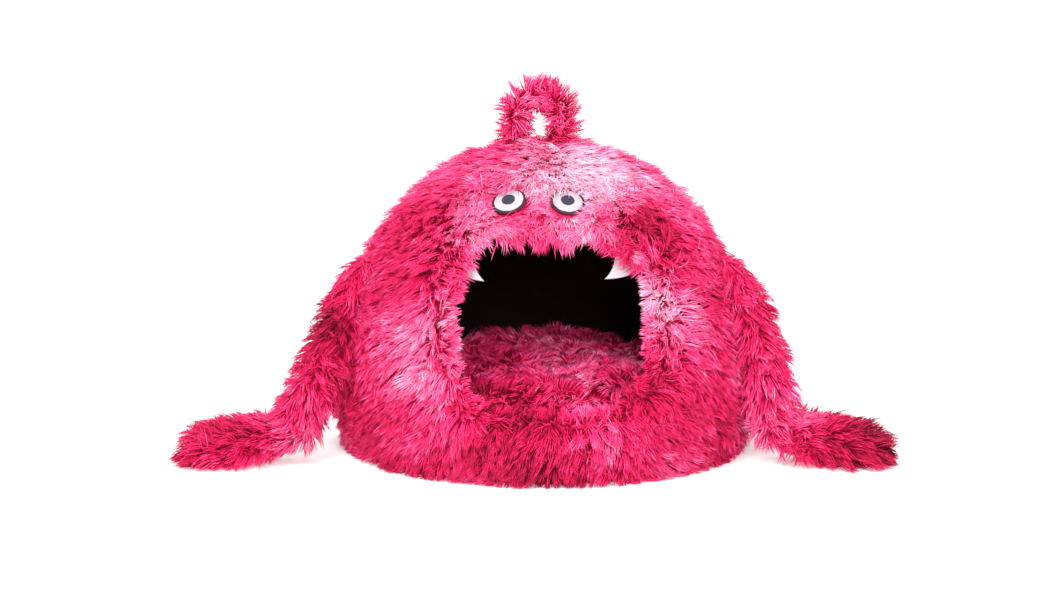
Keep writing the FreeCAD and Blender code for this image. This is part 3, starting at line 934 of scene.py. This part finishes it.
def makeCushion():
    middle, half = (cushion["low"] + cushion["high"]) / 2, (cushion["high"] - cushion["low"]) / 2
    bpy.ops.mesh.primitive_cylinder_add(vertices=96, radius=cushion["radius"], depth=half * 2,
                                        location=(0, 0, middle))
    pad = newPiece("cushionPad")
    modify(pad, "BEVEL", width=half * 0.9, segments=6, limit_method="ANGLE", angle_limit=math.radians(50))
    puffUp(pad, cushion["voxel"], cushion["pressure"], 20, cushion["most"])
    modify(pad, "SMOOTH", factor=0.5, iterations=6)
    points = readPoints(pad)
    above = ease(middle, cushion["high"], points[:, 2])
    lumps = softNoise(points, 85 * mm, 81) * cushion["lumps"]
    points[:, 2] += above * (lumps + cushion["rise"] * ease(-60 * mm, 110 * mm, points[:, 1]))
    points[:, 2] = np.maximum(points[:, 2], cushion["low"])
    across = np.linalg.norm(points[:, :2], axis=1)
    points[:, :2] *= np.minimum(1, 161 * mm / np.maximum(across, mm))[:, None]
    writePoints(pad, points)
    smoothShade(pad)

    def combCushion(roots, out):
        sway = np.stack([softNoise(roots, 55 * mm, seed) for seed in (82, 83, 84)], axis=1)
        every = np.ones(len(roots))
        return sway * 1.2 + np.array([[0, -0.35, 0]]), every * 0.72, every, every

    hairs = growPile("cushionPile", pad, combCushion, cushionPile, 302,
                     lambda roots: (roots[:, 2] < middle) | (np.linalg.norm(roots[:, :2], axis=1) > 152 * mm))
    dress(pad, "backing")
    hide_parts("cushion_cover", "cushion_filling")
    bpy.ops.mesh.primitive_torus_add(major_radius=149 * mm, minor_radius=cushion["piping"], major_segments=128,
                                     minor_segments=12, location=(0, 0, cushion["low"] + 1.5 * mm))
    piping = newPiece("cushionPiping")
    smoothShade(piping)
    dress(piping, "tape")
    for piece in [pad, piping] + hairs:
        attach(piece, "cushion")


makeCushion()
print("cushion filled")


# the frame's own pieces take their cloth, foam and tape; the panels' foam is wrapped in the cover's
# cloth, so that no bare foam shows in a slit that opens

nodeMaterials = {"_foam": "wrap", "base_foam": "foam", "_filling": "filling", "base_cloth": "base",
                 "floor_lining": "lining", "cushion_underside": "base", "shoulder_tab": "tape", "loop_core": "tape"}
for name, node in nodes.items():
    for ending, material in nodeMaterials.items():
        if ending in name and not node.hide_render:
            for place in node.material_slots:
                place.material = materials[material]

print("frame dressed")


# stage, light and camera

def makeStage():
    bpy.ops.mesh.primitive_plane_add(size=80, location=(0, 20, 0))
    floor = newPiece("floor")
    pale = newMaterial("paleFloor", linear(250, 250, 250), 0.8)
    shader = pale.node_tree.nodes["Principled BSDF"]
    shader.inputs["Emission Color"].default_value = (1, 1, 1, 1)
    shader.inputs["Emission Strength"].default_value = 0.3
    floor.data.materials.append(pale)
    world = bpy.data.worlds.new("softRoom")
    bpy.context.scene.world = world
    world.use_nodes = True
    sky = world.node_tree.nodes["Background"]
    sky.inputs["Color"].default_value = (1, 1, 1, 1)
    sight = addNode(world.node_tree, "ShaderNodeLightPath")
    strength = addNode(world.node_tree, "ShaderNodeMapRange")
    strength.inputs["To Min"].default_value = 0.8
    strength.inputs["To Max"].default_value = 1.05
    world.node_tree.links.new(sight.outputs["Is Camera Ray"], strength.inputs["Value"])
    world.node_tree.links.new(strength.outputs["Result"], sky.inputs["Strength"])
    for name, place, aim, size, power in (
            ("keyLight", (-0.6, -1.9, 1.75), (0, 0, 0.12), 0.9, 49),
            ("fillLight", (1.6, -1.9, 1.2), (0, 0, 0.15), 1.4, 12),
            ("frontLight", (0.25, -2.4, 1.1), (0, 0, 0.08), 0.7, 36),
            ("topLight", (0.1, 0.7, 2.3), (0, 0, 0.2), 1.6, 22)):
        bpy.ops.object.light_add(type="AREA", location=place)
        light = bpy.context.object
        light.name = name
        light.data.shape = "DISK"
        light.data.size = size
        light.data.energy = power
        light.rotation_euler = (Vector(aim) - Vector(place)).to_track_quat("-Z", "Y").to_euler()


def makeCamera():
    aim, distance, tilt = Vector((-0.020, 0, 0.139)), 2.48, math.radians(10)
    place = aim + Vector((0, -math.cos(tilt), math.sin(tilt))) * distance
    bpy.ops.object.camera_add(location=place)
    camera = bpy.context.object
    camera.data.lens = 85
    camera.rotation_euler = (aim - place).to_track_quat("-Z", "Y").to_euler()
    bpy.context.scene.camera = camera
    bpy.context.scene.view_settings.view_transform = "Standard"


makeStage()
makeCamera()
print("pile in all", total["triangles"], "triangles")
